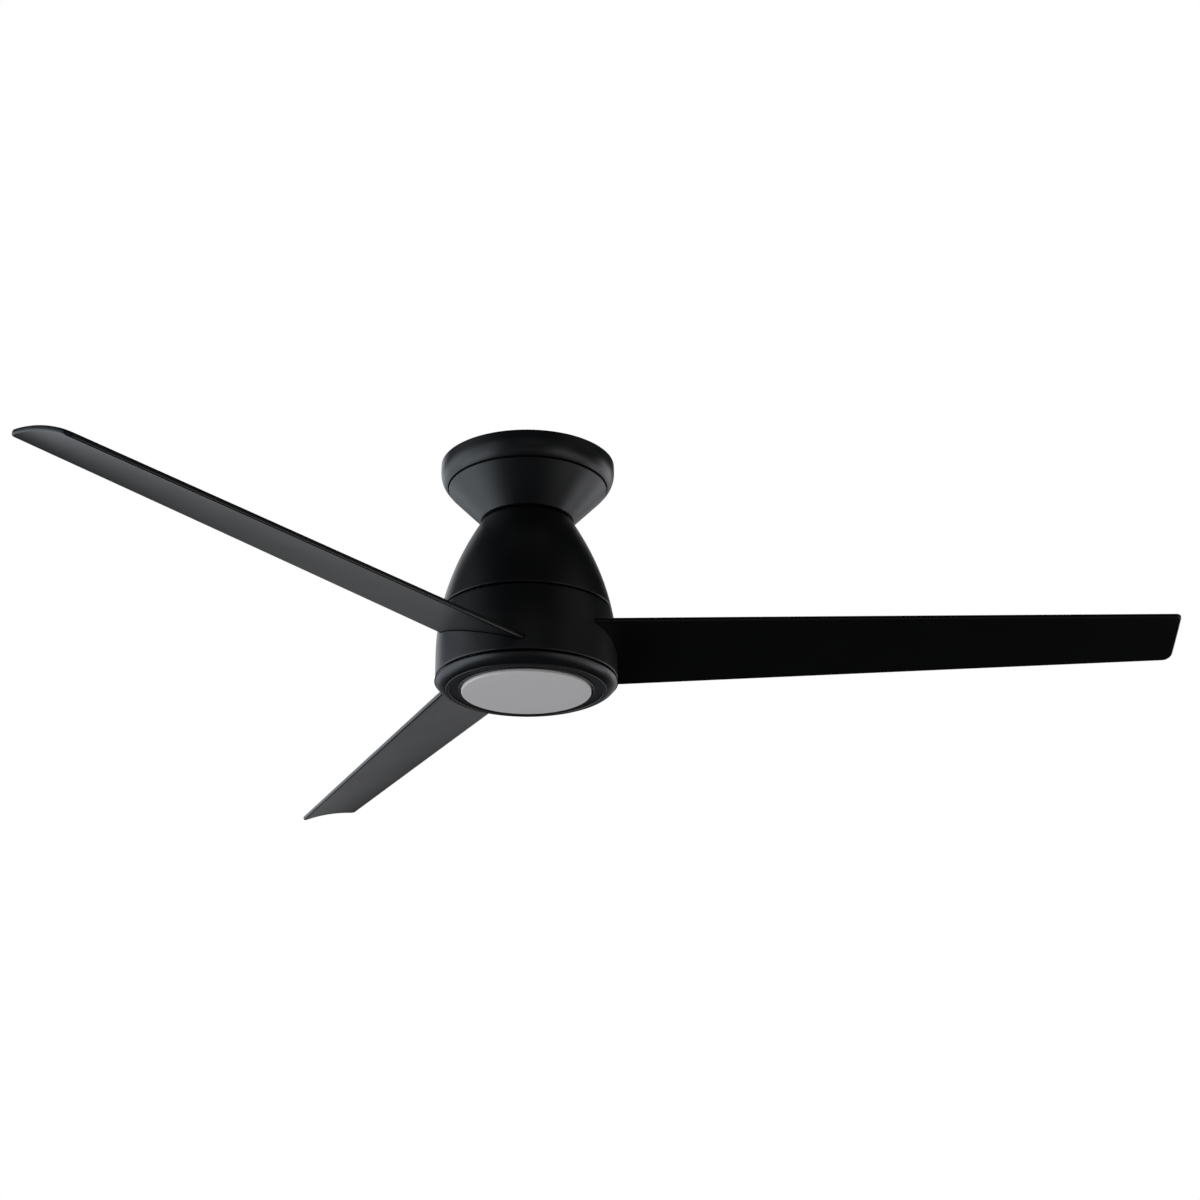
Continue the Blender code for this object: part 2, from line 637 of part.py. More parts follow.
def blades():
    corner_steps = 4
    corner = max(BLADE_TIP_CORNERS)
    straight = heights(BLADE_ROOT, SWEEP_RADIUS - corner, 5)
    rounded = [
        SWEEP_RADIUS - corner * (1 - math.sin(math.pi / 2 * i / corner_steps))
        for i in range(1, corner_steps + 1)
    ]
    sheet = blade_sheet("blade", 6, straight + rounded)
    for number in range(BLADE_COUNT):
        place = blade_place(number)
        blade = add(f"blade_{number + 1}", sheet, "blade_black", spins=True)
        blade.matrix_world = place
        thicken(blade, BLADE_THICKNESS)
        bevel(blade, 0.0014, 1)
        for side, y in (("a", -BLADE_SCREW_Y), ("b", BLADE_SCREW_Y)):
            spot = place @ Matrix.Translation((BLADE_SCREW_X, y, 0))
            hole = cylinder_mesh("screw_hole", BLADE_SCREW_HOLE, -0.004, 0.010)
            boolean(blade, hole, "DIFFERENCE", spot)
            screw = add(f"blade_screw_{number + 1}{side}", screw_mesh(
                "blade_screw", 0.0042, 0.0022, 0.0019, 0.0095), "bearing_steel", spins=True)
            screw.matrix_world = spot @ Matrix.Translation((0, 0, -GAP))
        blade_holder(number, place)


def blade_holder(number, place):
    """A cast bracket: a pitched pad on the blade, two posts and a foot under the web."""
    pad_low = BLADE_THICKNESS + 0.0004
    pad_high = pad_low + 0.003
    pad = add(f"blade_holder_{number + 1}", cube_mesh(
        "pad", (0.0625, -0.036, pad_low), (0.0795, 0.036, pad_high)), "cast_aluminium", spins=True)
    pad.matrix_world = place
    upright = around(number * 120)
    foot_low = HOLDER_FOOT_Z - HOLDER_FOOT
    for y in (-0.024, 0.024):
        pad_middle = BLADE_Z + (pad_low + pad_high) / 2 / math.cos(BLADE_PITCH) - y * math.tan(BLADE_PITCH)
        post = cube_mesh("post", (0.067, y - 0.005, pad_middle), (0.075, y + 0.005, foot_low + 0.001))
        boolean(pad, post, "UNION", upright)
    foot = cube_mesh("foot", (0.055, -0.032, foot_low), (0.078, 0.032, HOLDER_FOOT_Z))
    boolean(pad, foot, "UNION", upright)
    for y in (-BLADE_SCREW_Y, BLADE_SCREW_Y):
        hole = cylinder_mesh("screw_hole", BLADE_SCREW_HOLE, 0, 0.014)
        boolean(pad, hole, "DIFFERENCE", place @ Matrix.Translation((BLADE_SCREW_X, y, 0)))
    hole = cylinder_mesh("screw_hole", HOLDER_HOLE, foot_low - 0.002, HOLDER_FOOT_Z + 0.002)
    boolean(pad, hole, "DIFFERENCE", around(number * 120, HOLDER_SCREW_CIRCLE))
    screw = add(f"holder_screw_{number + 1}", screw_mesh(
        "holder_screw", 0.0042, 0.0024, 0.0019, 0.0105), "bearing_steel", spins=True)
    screw.matrix_world = around(number * 120, HOLDER_SCREW_CIRCLE, foot_low - GAP)


def rotor_body():
    """The turning lower housing: a cup with a web under the motor, a lip inside the seam and a
    slot for each blade."""
    edge = 0.0006
    lip_inner = ROTOR_LIP_RADIUS - SHEET
    bore = 0.016
    outer = [(body_radius(z), z) for z in heights(ROTOR_TOP_Z - edge, ROTOR_BOTTOM_Z + edge, 5)]
    inside = [(body_radius(z) - BODY_WALL, z) for z in heights(ROTOR_BOTTOM_Z, WEB_BOTTOM_Z, 4)]
    body = turned("rotor_body", [
        (lip_inner, ROTOR_LIP_Z), (ROTOR_LIP_RADIUS, ROTOR_LIP_Z), (ROTOR_LIP_RADIUS, ROTOR_TOP_Z),
        (outer[0][0] - edge, ROTOR_TOP_Z), *outer, (outer[-1][0] - edge, ROTOR_BOTTOM_Z),
        *inside, (bore, WEB_BOTTOM_Z), (bore, WEB_TOP_Z), (lip_inner, WEB_TOP_Z),
    ], "black_coat", ROUND, spins=True)
    for number in range(BLADE_COUNT):
        sheet = blade_sheet("slot", 2, (BLADE_ROOT, BODY_RADIUS + 0.02), SLOT_CLEARANCE)
        slot = boolean(body, sheet, "DIFFERENCE", blade_place(number))
        thicken(slot, BLADE_THICKNESS + 2 * SLOT_CLEARANCE)
        hole = cylinder_mesh("screw_hole", HOLDER_HOLE, WEB_BOTTOM_Z - 0.002, WEB_TOP_Z + 0.002)
        boolean(body, hole, "DIFFERENCE", around(number * 120, HOLDER_SCREW_CIRCLE))


# Light ----------------------------------------------------------------------------------------


def light_kit():
    plate_bottom = LIGHT_PLATE_Z - 0.002
    flange_top = plate_bottom - GAP
    flange_bottom = flange_top - 0.002
    plate = turned("light_plate", [
        (SHAFT_RADIUS + GAP, -0.2290), (0.018, -0.2290), (0.018, LIGHT_PLATE_Z), (0.086, LIGHT_PLATE_Z),
        (0.086, plate_bottom), (0.006, plate_bottom), (0.006, LIGHT_PLATE_Z), (SHAFT_RADIUS + GAP, LIGHT_PLATE_Z),
    ], "zinc_steel", ROUND_SMALL)

    bead_centre = (LIGHT_RADIUS - LIGHT_BEAD_RADIUS + 0.0003, -0.2416)
    bead = arc(bead_centre, LIGHT_BEAD_RADIUS - 0.0001, -17, -81, 5)
    lip, wall = LIGHT_LIP_RADIUS, 0.002
    ring = turned("light_ring", [
        (0.070, flange_top), (lip, flange_top), (lip, LIGHT_TOP_Z), (0.0948, LIGHT_TOP_Z), *bead,
        (LIGHT_EDGE_RADIUS, LIGHT_EDGE_Z), (LIGHT_EDGE_RADIUS, -0.2527), (0.0880, -0.2510),
        (0.0880, -0.2495), (lip - wall, -0.2470), (lip - wall, flange_bottom), (0.070, flange_bottom),
    ], "black_coat", ROUND)
    for number, angle in enumerate(LIGHT_SCREW_ANGLES, 1):
        place = around(angle, LIGHT_SCREW_CIRCLE)
        for piece in (plate, ring):
            hole = cylinder_mesh("screw_hole", LIGHT_SCREW_HOLE, flange_bottom - 0.002, LIGHT_PLATE_Z + 0.002)
            boolean(piece, hole, "DIFFERENCE", place)
        screw = add(f"light_screw_{number}", screw_mesh(
            "light_screw", 0.0036, 0.0020, 0.0016, 0.0065), "bearing_steel")
        screw.matrix_world = around(angle, LIGHT_SCREW_CIRCLE, flange_bottom - GAP)
    lead_hole = cylinder_mesh("lead_hole", LEAD_HOLE, -0.247, LIGHT_PLATE_Z + 0.002)
    boolean(plate, lead_hole, "DIFFERENCE", around(90, LEAD_HOLE_Y))

    sink_top = flange_top
    sink = turned("led_heat_sink", disc_profile(0.066, sink_top, sink_top - 0.004), "cast_aluminium", 48)
    boolean(sink, lead_hole, "DIFFERENCE", around(90, LEAD_HOLE_Y))

    board_top = sink_top - 0.004 - GAP
    board = turned("led_board", disc_profile(0.062, board_top, board_top - 0.0016), "board_white", 48)
    for count, radius in ((9, 0.046), (3, 0.020)):
        for i in range(count):
            chip = cube_mesh("chip", (-0.0015, -0.0018, board_top - 0.0023),
                             (0.0015, 0.0018, board_top - 0.001))
            boolean(board, chip, "UNION", around((i + 0.5) * 360 / count, radius))

    retainer()
    lens()

    driver = add("led_driver", cube_mesh(
        "led_driver", (-0.026, 0.022, -0.2380), (0.026, 0.045, -0.2270)), "white_plastic")
    bevel(driver, 0.0012, 2)


def retainer():
    """The flat ring around the lens, a little above the bead's edge."""
    face, back = -0.2549, -0.2535
    turned("lens_retainer", [
        (LENS_RADIUS + 0.0005, -0.2514), (LENS_RADIUS + 0.0024, -0.2514), (LENS_RADIUS + 0.0024, back),
        (0.0834, back), (0.0839, back - 0.0005), (0.0839, face + 0.0004), (0.0836, face),
        (LENS_RADIUS + 0.0010, face), (LENS_RADIUS + 0.0005, face + 0.0005),
    ], "retainer_black", ROUND)


def lens():
    """An opal dish: a flange above the retainer, a short wall and a flat face."""
    wall = 0.0019
    fillet = LENS_RADIUS - LENS_FACE_RADIUS
    corner = arc((LENS_FACE_RADIUS, LENS_BOTTOM_Z + fillet), fillet, 0, -90, 4)
    flange = LENS_RADIUS + 0.0056
    turned("diffuser_lens", [
        (0, LENS_BOTTOM_Z + wall), (LENS_FACE_RADIUS, LENS_BOTTOM_Z + wall),
        (LENS_RADIUS - wall, LENS_BOTTOM_Z + fillet), (LENS_RADIUS - wall, -0.2492),
        (flange, -0.2492), (flange, -0.2511), (LENS_RADIUS, -0.2511), *corner, (0, LENS_BOTTOM_Z),
    ], "opal", ROUND)


# Electrics ------------------------------------------------------------------------------------


def electrics():
    top = -BRACKET_THICKNESS - GAP
    receiver = add("receiver_box", cube_mesh("receiver_box", (0.030, -0.028, -0.025), (0.064, 0.028, top)),
                   "box_plastic")
    bevel(receiver, 0.002, 2)
    block = add("terminal_block", cube_mesh("terminal_block", (-0.062, -0.016, -0.015), (-0.044, 0.016, top)),
                "white_plastic")
    bevel(block, 0.001, 1)
    for y in (-0.010, 0, 0.010):
        access = cylinder_mesh("screw_access", 0.0022, -0.020, -0.008, 12)
        boolean(block, access, "DIFFERENCE", Matrix.Translation((-0.053, y, 0)))

    earth = add("earth_screw", screw_mesh("earth_screw", 0.0042, 0.0024, 0.0019, 0.0022), "earth_green")
    earth.matrix_world = around(270, 0.050, top)

    block_side, receiver_side = 0.0166, 0.0294
    cable("mains_lead", [
        (-0.050, block_side, -0.009), (-0.050, 0.019, -0.009), (-0.044, 0.026, -0.012), (-0.024, 0.028, -0.015),
        (0.003, 0.027, -0.016), (0.019, 0.019, -0.014), (0.0265, 0.014, -0.013), (receiver_side, 0.014, -0.013),
    ], 0.0020, "cable_grey")
    cable("earth_lead", [
        (-0.0050, -0.050, -0.0042), (-0.008, -0.050, -0.0045), (-0.022, -0.048, -0.009),
        (-0.040, -0.037, -0.011), (-0.050, -0.021, -0.009), (-0.050, -block_side, -0.009),
    ], 0.0013, "earth_green")
    cable("motor_cable", [
        (receiver_side, 0.004, -0.019), (0.0265, 0.004, -0.0195), (0.0150, 0.003, -0.0300),
        (0.0060, 0.0005, -0.0370), (0.0030, 0, -0.048), (0.0030, 0, -0.080), (0.0030, 0, -0.112),
        (0.0033, 0, -0.1195), (0.0070, 0, -0.1258), (0.0150, 0, -0.1270), (0.0250, 0, -0.1272),
    ], 0.0015, "cable_grey")
    cable("light_cable", [
        (receiver_side, -0.009, -0.019), (0.0265, -0.009, -0.0195), (0.0110, -0.006, -0.0300),
        (-0.0005, -0.001, -0.0375), (-0.0030, 0, -0.048), (-0.0030, 0, -0.080), (-0.0030, 0, -0.140),
        (-0.0030, 0, -0.200), (-0.0020, 0.0008, -0.214), (0, 0.0060, -0.2210), (0, 0.0150, -0.2240),
        (0, 0.0235, -0.2235), (0, 0.0305, -0.2235), (0, 0.0330, -0.2250), (0, 0.0330, -0.2266),
    ], 0.0016, "cable_grey")
    cable("led_lead", [
        (0, 0.0456, -0.2320), (0, 0.0480, -0.2320), (0, 0.0518, -0.2350), (0, 0.0520, -0.2380),
        (0, 0.0520, -0.2452),
    ], 0.0012, "cable_grey")


# Assembly -------------------------------------------------------------------------------------

ceiling_bracket()
hanger()
shaft_and_collar()
canopy()
dome()
motor()
rotor_body()
blades()
light_kit()
electrics()

for piece in PARTS.objects:
    if piece.type == "MESH":
        piece.data.shade_smooth()
        piece.data.set_sharp_from_angle(angle=math.radians(35))
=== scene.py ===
"""The looks of a flush-mount ceiling fan with a light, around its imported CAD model.

Metres, +Z up, the origin on the spin axis in the plane of the ceiling. The shells, the blades, the
ceiling bracket and its screws are made again here with a fine surface, and the pieces inside keep
their CAD shapes. Every piece gets a procedural material.
"""

import json
import math
from collections import namedtuple

import bmesh
import bpy
from mathutils import Matrix, Vector


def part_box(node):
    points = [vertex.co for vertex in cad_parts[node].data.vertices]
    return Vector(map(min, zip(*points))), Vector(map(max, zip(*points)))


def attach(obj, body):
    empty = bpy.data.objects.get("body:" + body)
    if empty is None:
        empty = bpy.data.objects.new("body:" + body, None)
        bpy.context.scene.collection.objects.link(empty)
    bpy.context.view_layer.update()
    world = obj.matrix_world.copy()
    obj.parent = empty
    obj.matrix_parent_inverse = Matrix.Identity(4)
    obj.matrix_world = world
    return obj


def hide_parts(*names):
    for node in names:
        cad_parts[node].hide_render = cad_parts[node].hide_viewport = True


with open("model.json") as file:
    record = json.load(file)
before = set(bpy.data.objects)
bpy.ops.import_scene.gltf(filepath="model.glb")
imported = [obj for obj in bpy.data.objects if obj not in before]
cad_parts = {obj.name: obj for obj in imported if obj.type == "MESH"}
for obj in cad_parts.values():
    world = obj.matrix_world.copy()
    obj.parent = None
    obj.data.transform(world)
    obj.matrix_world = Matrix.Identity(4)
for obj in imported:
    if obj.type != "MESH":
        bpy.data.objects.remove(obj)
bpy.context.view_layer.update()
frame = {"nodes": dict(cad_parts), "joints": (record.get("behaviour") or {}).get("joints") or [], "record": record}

# Sizes ----------------------------------------------------------------------------------------

FINE_STEPS = 192          # steps around a shell
SCREW_STEPS = 32          # steps around a screw or a small hole
FILLET_STEPS = 4
SHARP_DEG = 35            # edges that turn by more than this stay sharp
SPIN_Z = frame["joints"][0]["pos_m"][2]

BODY_TAPER = 2.06         # the housing's radius lost per metre of height, squared
BODY_WALL = 0.003
SHEET = 0.0016            # thickness of the canopy's and the rotor lip's metal
SEAM = 0.0027             # height of the gaps above and below the rotor body

NECK_RADIUS = 0.0496      # where the canopy's cone meets the housing
NECK_BORE = 0.0203        # the hole for the shaft's collar in the cone and the dome
LENS_RADIUS = 0.0676

BLADE_COUNT = 3
BLADE_PITCH = math.radians(15.9)
BLADE_THICKNESS = 0.005
BLADE_ROOT = 0.060              # from the spin axis to a blade's hidden inner end
SWEEP_RADIUS = 0.6604           # from the spin axis to a blade's tip
HIGH_EDGE = (0.0604, 0.0627)    # half width on the axis, and how much it loses per metre
LOW_EDGE = (0.0588, 0.0063)
TIP_CORNERS = (0.0055, 0.009)   # rounding of the high and the low corner
TIP_SKEW = 0.0033               # how much shorter the low corner of the tip is
TIP_BOW = 0.0016                # how far the tip's end bulges out
TIP_CAMBER = 0.004              # how far the tip arches up across its width
TIP_DROOP = 0.0008              # how far the tip hangs down
EDGE_RADIUS = 0.0016            # rounding along every edge
SLOT_CLEARANCE = 0.0007         # around a blade where it enters the rotor body

POST_CIRCLE = 0.036             # where the canopy's posts are screwed to the ceiling bracket
POST_ANGLES = (60, 180, 300)


# Mesh helpers ---------------------------------------------------------------------------------


def mesh_object(name, shape):
    """An object from a bmesh, faces out, smooth except at its real edges."""
    bmesh.ops.recalc_face_normals(shape, faces=shape.faces)
    mesh = bpy.data.meshes.new(name)
    shape.to_mesh(mesh)
    shape.free()
    mesh.shade_smooth()
    mesh.set_sharp_from_angle(angle=math.radians(SHARP_DEG))
    made = bpy.data.objects.new(name, mesh)
    bpy.context.scene.collection.objects.link(made)
    return made


def lathe(name, profile, steps=FINE_STEPS):
    """Revolves a closed (radius, z) outline; points on the axis become single vertices."""
    shape = bmesh.new()
    rings = []
    for radius, z in profile:
        if radius < 1e-6:
            rings.append([shape.verts.new((0, 0, z))])
            continue
        turn = [math.tau * i / steps for i in range(steps)]
        rings.append([shape.verts.new((radius * math.cos(a), radius * math.sin(a), z)) for a in turn])
    for first, second in zip(rings, rings[1:] + rings[:1]):
        if len(first) == len(second) == 1:
            continue
        for i in range(steps):
            j = (i + 1) % steps
            corners = [first[i % len(first)], first[j % len(first)],
                       second[j % len(second)], second[i % len(second)]]
            shape.faces.new(list(dict.fromkeys(corners)))
    return mesh_object(name, shape)


def fillet(points, count=FILLET_STEPS):
    """A closed outline from (radius, z) or (radius, z, fillet radius) corners."""
    out = []
    for i, corner in enumerate(points):
        here = Vector(corner[:2])
        if len(corner) == 2:
            out.append(tuple(here))
            continue
        before = Vector(points[i - 1][:2]) - here
        after = Vector(points[(i + 1) % len(points)][:2]) - here
        half = before.angle(after) / 2
        reach = min(corner[2] / math.tan(half), before.length * 0.49, after.length * 0.49)
        start, end = here + before.normalized() * reach, here + after.normalized() * reach
        for step in range(count + 1):
            t = step / count
            out.append(tuple(start.lerp(here, t).lerp(here.lerp(end, t), t)))
    return out


def spread(start, end, count):
    """Evenly spaced values, with both ends."""
    return [start + (end - start) * i / (count - 1) for i in range(count)]


def arc(centre, radius, start_deg, end_deg, count):
    """Points on an arc in the (radius, z) plane; 0 degrees points outwards and 90 up."""
    angles = [math.radians(a) for a in spread(start_deg, end_deg, count)]
    return [(centre[0] + radius * math.cos(a), centre[1] + radius * math.sin(a)) for a in angles]


def around(angle_deg, radius=0.0):
    """A place out from the spin axis and turned about it."""
    return Matrix.Rotation(math.radians(angle_deg), 4, "Z") @ Matrix.Translation((radius, 0, 0))


def peg(radius, bottom, top, place, top_radius=None, steps=SCREW_STEPS):
    """A cylinder or cone used as a cutter."""
    shape = bmesh.new()
    bmesh.ops.create_cone(
        shape, cap_ends=True, segments=steps, radius1=radius,
        radius2=radius if top_radius is None else top_radius, depth=top - bottom,
    )
    bmesh.ops.translate(shape, vec=(0, 0, (top + bottom) / 2), verts=shape.verts)
    bmesh.ops.transform(shape, matrix=place, verts=shape.verts)
    return mesh_object("cutter", shape)


def block(low, high, place):
    """A box used as a cutter."""
    shape = bmesh.new()
    bmesh.ops.create_cube(shape, size=1)
    low, high = Vector(low), Vector(high)
    bmesh.ops.scale(shape, vec=high - low, verts=shape.verts)
    bmesh.ops.translate(shape, vec=(low + high) / 2, verts=shape.verts)
    bmesh.ops.transform(shape, matrix=place, verts=shape.verts)
    return mesh_object("cutter", shape)


def cut(piece, cutters, sharp_deg=SHARP_DEG):
    """Takes the cutters out of the piece and removes them."""
    for cutter in cutters:
        modifier = piece.modifiers.new("Cut", "BOOLEAN")
        modifier.operation = "DIFFERENCE"
        modifier.solver = "EXACT"
        modifier.object = cutter
    view = bpy.context.evaluated_depsgraph_get()
    mesh = bpy.data.meshes.new_from_object(piece.evaluated_get(view))
    piece.modifiers.clear()
    piece.data = mesh
    mesh.shade_smooth()
    mesh.set_sharp_from_angle(angle=math.radians(sharp_deg))
    for cutter in cutters:
        bpy.data.objects.remove(cutter, do_unlink=True)


def settle(piece, body, slot, *replaced):
    """Hands a finished piece to the frame: what it moves with, its finish and what it stands for."""
    piece.data.materials.clear()
    piece.data.materials.append(MATERIALS[slot])
    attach(piece, body)
    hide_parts(*replaced)


# Materials ------------------------------------------------------------------------------------

# Tones are the base colour where the pattern is at its lowest and highest; grain is in metres.
Look = namedtuple("Look", "low_tone high_tone roughness grain bump pattern metallic", defaults=("grain", 0))
LOOKS = {
    "black_coat": Look((0.0036, 0.0039, 0.0045), (0.0052, 0.0056, 0.0064), (0.33, 0.42), 0.0011, 0.05),
    "blade_black": Look((0.0026, 0.0027, 0.0029), (0.0036, 0.0037, 0.0040), (0.28, 0.34), 0.0009, 0.03),
    "retainer_black": Look((0.0075, 0.0078, 0.0085), (0.0105, 0.0108, 0.0115), (0.38, 0.46), 0.0008, 0.06),
    "opal": Look((0.765, 0.728, 0.710), (0.785, 0.748, 0.730), (0.14, 0.18), 0.0020, 0.01),
    "zinc_steel": Look((0.47, 0.49, 0.52), (0.62, 0.63, 0.64), (0.42, 0.58), 0.0070, 0.02, "spangle", 0.3),
    "cast_aluminium": Look((0.52, 0.53, 0.55), (0.66, 0.67, 0.68), (0.38, 0.55), 0.0012, 0.25, metallic=1),
    "bearing_steel": Look((0.54, 0.54, 0.55), (0.64, 0.64, 0.65), (0.16, 0.28), 0.0004, 0.04, "turned", 1),
    "core_steel": Look((0.20, 0.21, 0.23), (0.34, 0.35, 0.37), (0.40, 0.55), 0.0005, 0.30, "layers", 1),
    "copper": Look((0.55, 0.22, 0.10), (0.78, 0.38, 0.20), (0.22, 0.36), 0.0008, 0.35, "layers", 1),
    "magnet": Look((0.045, 0.045, 0.050), (0.075, 0.075, 0.080), (0.50, 0.65), 0.0010, 0.12),
    "rubber": Look((0.014, 0.014, 0.014), (0.024, 0.024, 0.024), (0.70, 0.85), 0.0010, 0.15),
    "box_plastic": Look((0.022, 0.022, 0.024), (0.032, 0.032, 0.034), (0.48, 0.60), 0.0007, 0.20),
    "white_plastic": Look((0.68, 0.68, 0.66), (0.76, 0.76, 0.74), (0.38, 0.48), 0.0012, 0.05),
    "board_white": Look((0.72, 0.73, 0.71), (0.80, 0.80, 0.79), (0.35, 0.50), 0.0016, 0.05),
    "cable_grey": Look((0.17, 0.17, 0.18), (0.26, 0.26, 0.27), (0.45, 0.60), 0.0014, 0.10),
    "earth_green": Look((0.05, 0.26, 0.05), (0.10, 0.38, 0.08), (0.42, 0.55), 0.0014, 0.10),
}
STRETCHES = {"grain": (1, 1, 1), "turned": (0.05, 0.05, 1), "layers": (0.02, 0.02, 1)}
BUMP_HEIGHT = 0.0003      # metres that a full bump stands up
CLOUD_SIZE = 0.060        # metres across the slow changes of tone
FINE_SHARE = 0.6          # of the fine pattern in the tone, the rest is clouds
CLOUD_SHARE = 0.4
PATTERN_SPAN = (0.3, 0.7)  # values of the pattern that reach the ends of the roughness range


def add_node(tree, kind, **settings):
    """A new shader node with its own settings filled in."""
    made = tree.nodes.new(kind)
    for key, value in settings.items():
        setattr(made, key, value)
    return made


def pattern_of(tree, coordinates, pattern, grain):
    """The fine pattern of a finish, as a value from 0 to 1."""
    link = tree.links.new
    if pattern == "spangle":
        cells = add_node(tree, "ShaderNodeTexVoronoi", feature="F1")
        cells.inputs["Scale"].default_value = 1 / grain
        link(coordinates, cells.inputs["Vector"])
        grey = add_node(tree, "ShaderNodeRGBToBW")
        link(cells.outputs["Color"], grey.inputs["Color"])
        return grey.outputs["Val"]
    mapping = add_node(tree, "ShaderNodeMapping")
    mapping.inputs["Scale"].default_value = STRETCHES[pattern]
    link(coordinates, mapping.inputs["Vector"])
    noise = add_node(tree, "ShaderNodeTexNoise")
    noise.inputs["Scale"].default_value = 1 / grain
    noise.inputs["Detail"].default_value = 3
    noise.inputs["Roughness"].default_value = 0.55
    link(mapping.outputs["Vector"], noise.inputs["Vector"])
    return noise.outputs["Fac"]


def finish_material(slot):
    """A procedural finish: slow clouds of tone, a fine pattern, and both in its gloss."""
    look = LOOKS[slot]
    material = bpy.data.materials.new(f"{slot}_finish")
    material.use_nodes = True
    tree = material.node_tree
    link = tree.links.new
    shader = tree.nodes["Principled BSDF"]
    shader.inputs["Metallic"].default_value = look.metallic
    coordinates = add_node(tree, "ShaderNodeTexCoord").outputs["Object"]
    fine = pattern_of(tree, coordinates, look.pattern, look.grain)

    clouds = add_node(tree, "ShaderNodeTexNoise")
    clouds.inputs["Scale"].default_value = 1 / CLOUD_SIZE
    clouds.inputs["Detail"].default_value = 2
    link(coordinates, clouds.inputs["Vector"])

    blend = add_node(tree, "ShaderNodeMath", operation="MULTIPLY_ADD")
    blend.inputs[1].default_value = FINE_SHARE
    link(fine, blend.inputs[0])
    share = add_node(tree, "ShaderNodeMath", operation="MULTIPLY")
    share.inputs[1].default_value = CLOUD_SHARE
    link(clouds.outputs["Fac"], share.inputs[0])
    link(share.outputs["Value"], blend.inputs[2])

    tone = add_node(tree, "ShaderNodeMix", data_type="RGBA")
    tone.inputs["A"].default_value = (*look.low_tone, 1)
    tone.inputs["B"].default_value = (*look.high_tone, 1)
    link(blend.outputs["Value"], tone.inputs["Factor"])
    link(tone.outputs["Result"], shader.inputs["Base Color"])

    gloss = add_node(tree, "ShaderNodeMapRange")
    gloss.inputs["From Min"].default_value, gloss.inputs["From Max"].default_value = PATTERN_SPAN
    gloss.inputs["To Min"].default_value, gloss.inputs["To Max"].default_value = look.roughness
    link(blend.outputs["Value"], gloss.inputs["Value"])
    link(gloss.outputs["Result"], shader.inputs["Roughness"])

    relief = add_node(tree, "ShaderNodeBump")
    relief.inputs["Strength"].default_value = look.bump
    relief.inputs["Distance"].default_value = BUMP_HEIGHT
    link(fine, relief.inputs["Height"])
    link(relief.outputs["Normal"], shader.inputs["Normal"])
    return material


MATERIALS = {slot: finish_material(slot) for slot in LOOKS}


def finish_cad_nodes():
    """Every CAD piece gets the finish of its slot in the record."""
    for part in frame["record"]["subparts"]:
        node = frame["nodes"][part["node"]]
        for holder in node.material_slots:
            holder.material = MATERIALS[part["material_slot"]]


# The canopy and the dome ----------------------------------------------------------------------


def canopy_ring():
    """A straight top edge that rolls in to a lip, drawn as part of an ellipse."""
    low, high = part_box("canopy_ring")
    radius, bottom = high.x, low.z
    straight, lip_in = 0.0080, 0.0073
    lip = math.radians(56)
    roll_in, roll_down = lip_in / (1 - math.cos(lip)), (-straight - bottom) / math.sin(lip)
    roll = [
        (radius - roll_in * (1 - math.cos(a)), -straight - roll_down * math.sin(a))
        for a in spread(0, lip, 20)
    ]
    lip_radius, lip_z = roll[-1]
    inside = [(r - SHEET, z + SHEET * 0.8) for r, z in reversed(roll[:-1])]
    outline = [
        (radius - 0.0006, 0.0), (radius - 0.0001, -0.0004), *roll,
        (lip_radius - 0.0006, lip_z + 0.0002), (lip_radius - 0.0008, lip_z + 0.0010),
        *inside, (radius - SHEET, 0.0),
    ]
    settle(lathe("canopy_ring_shell", outline), "housing", "black_coat", "canopy_ring")


def canopy_cone():
    """A funnel with a recess above its shoulder, which is the dark seam under the ring."""
    low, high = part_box("canopy_cone")
    shoulder, bottom, top = -0.0278, low.z, high.z
    radius, recess = high.x + 0.0010, high.x - 0.0015
    outline = fillet([
        (recess - SHEET, top), (recess, top), (recess, shoulder + 0.0006), (radius, shoulder, 0.0005),
        (NECK_RADIUS, bottom, 0.0014), (NECK_BORE, bottom), (NECK_BORE, bottom + SHEET),
        (NECK_RADIUS - 0.0010, bottom + SHEET), (recess - SHEET, shoulder - 0.0019),
    ], 8)
    settle(lathe("canopy_cone_shell", outline), "housing", "black_coat", "canopy_cone")


def housing_radius(z):
    """Outer radius of the motor housing: straight up to the blades' height, then a parabola."""
    straight_radius, taper_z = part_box("rotor_body")[1].x, SPIN_Z + 0.0003
    return straight_radius - BODY_TAPER * max(0.0, z - taper_z) ** 2


def dome():
    """The still upper part of the motor housing, with a soft edge at the top and at the seam."""
    low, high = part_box("dome_shell")
    wall, edge_radius, top_edge = 0.0022, 0.0010, 0.0022
    top_radius = housing_radius(high.z)
    side = [(housing_radius(z), z) for z in spread(high.z - top_edge, low.z + edge_radius, 40)]
    edge = arc((side[-1][0] - edge_radius, low.z + edge_radius), edge_radius, -10, -90, 6)
    inside = [(r - wall, z) for r, z in reversed(side[::4])]
    outline = [
        (NECK_BORE, high.z), (top_radius - 0.0016, high.z), (top_radius - 0.0007, high.z - 0.0003),
        (top_radius, high.z - 0.0011), *side, *edge, (side[-1][0] - wall, low.z), *inside[1:],
        (top_radius - wall, high.z - wall), (NECK_BORE, high.z - wall),
    ]
    settle(lathe("dome_shell_surface", outline), "housing", "black_coat", "dome_shell")


# Blades and the rotor body --------------------------------------------------------------------


def blade_edges(x):
    """Where the blade's high and low edges lie at x, before its tip's corners are rounded."""
    return -(HIGH_EDGE[0] - HIGH_EDGE[1] * x), LOW_EDGE[0] - LOW_EDGE[1] * x


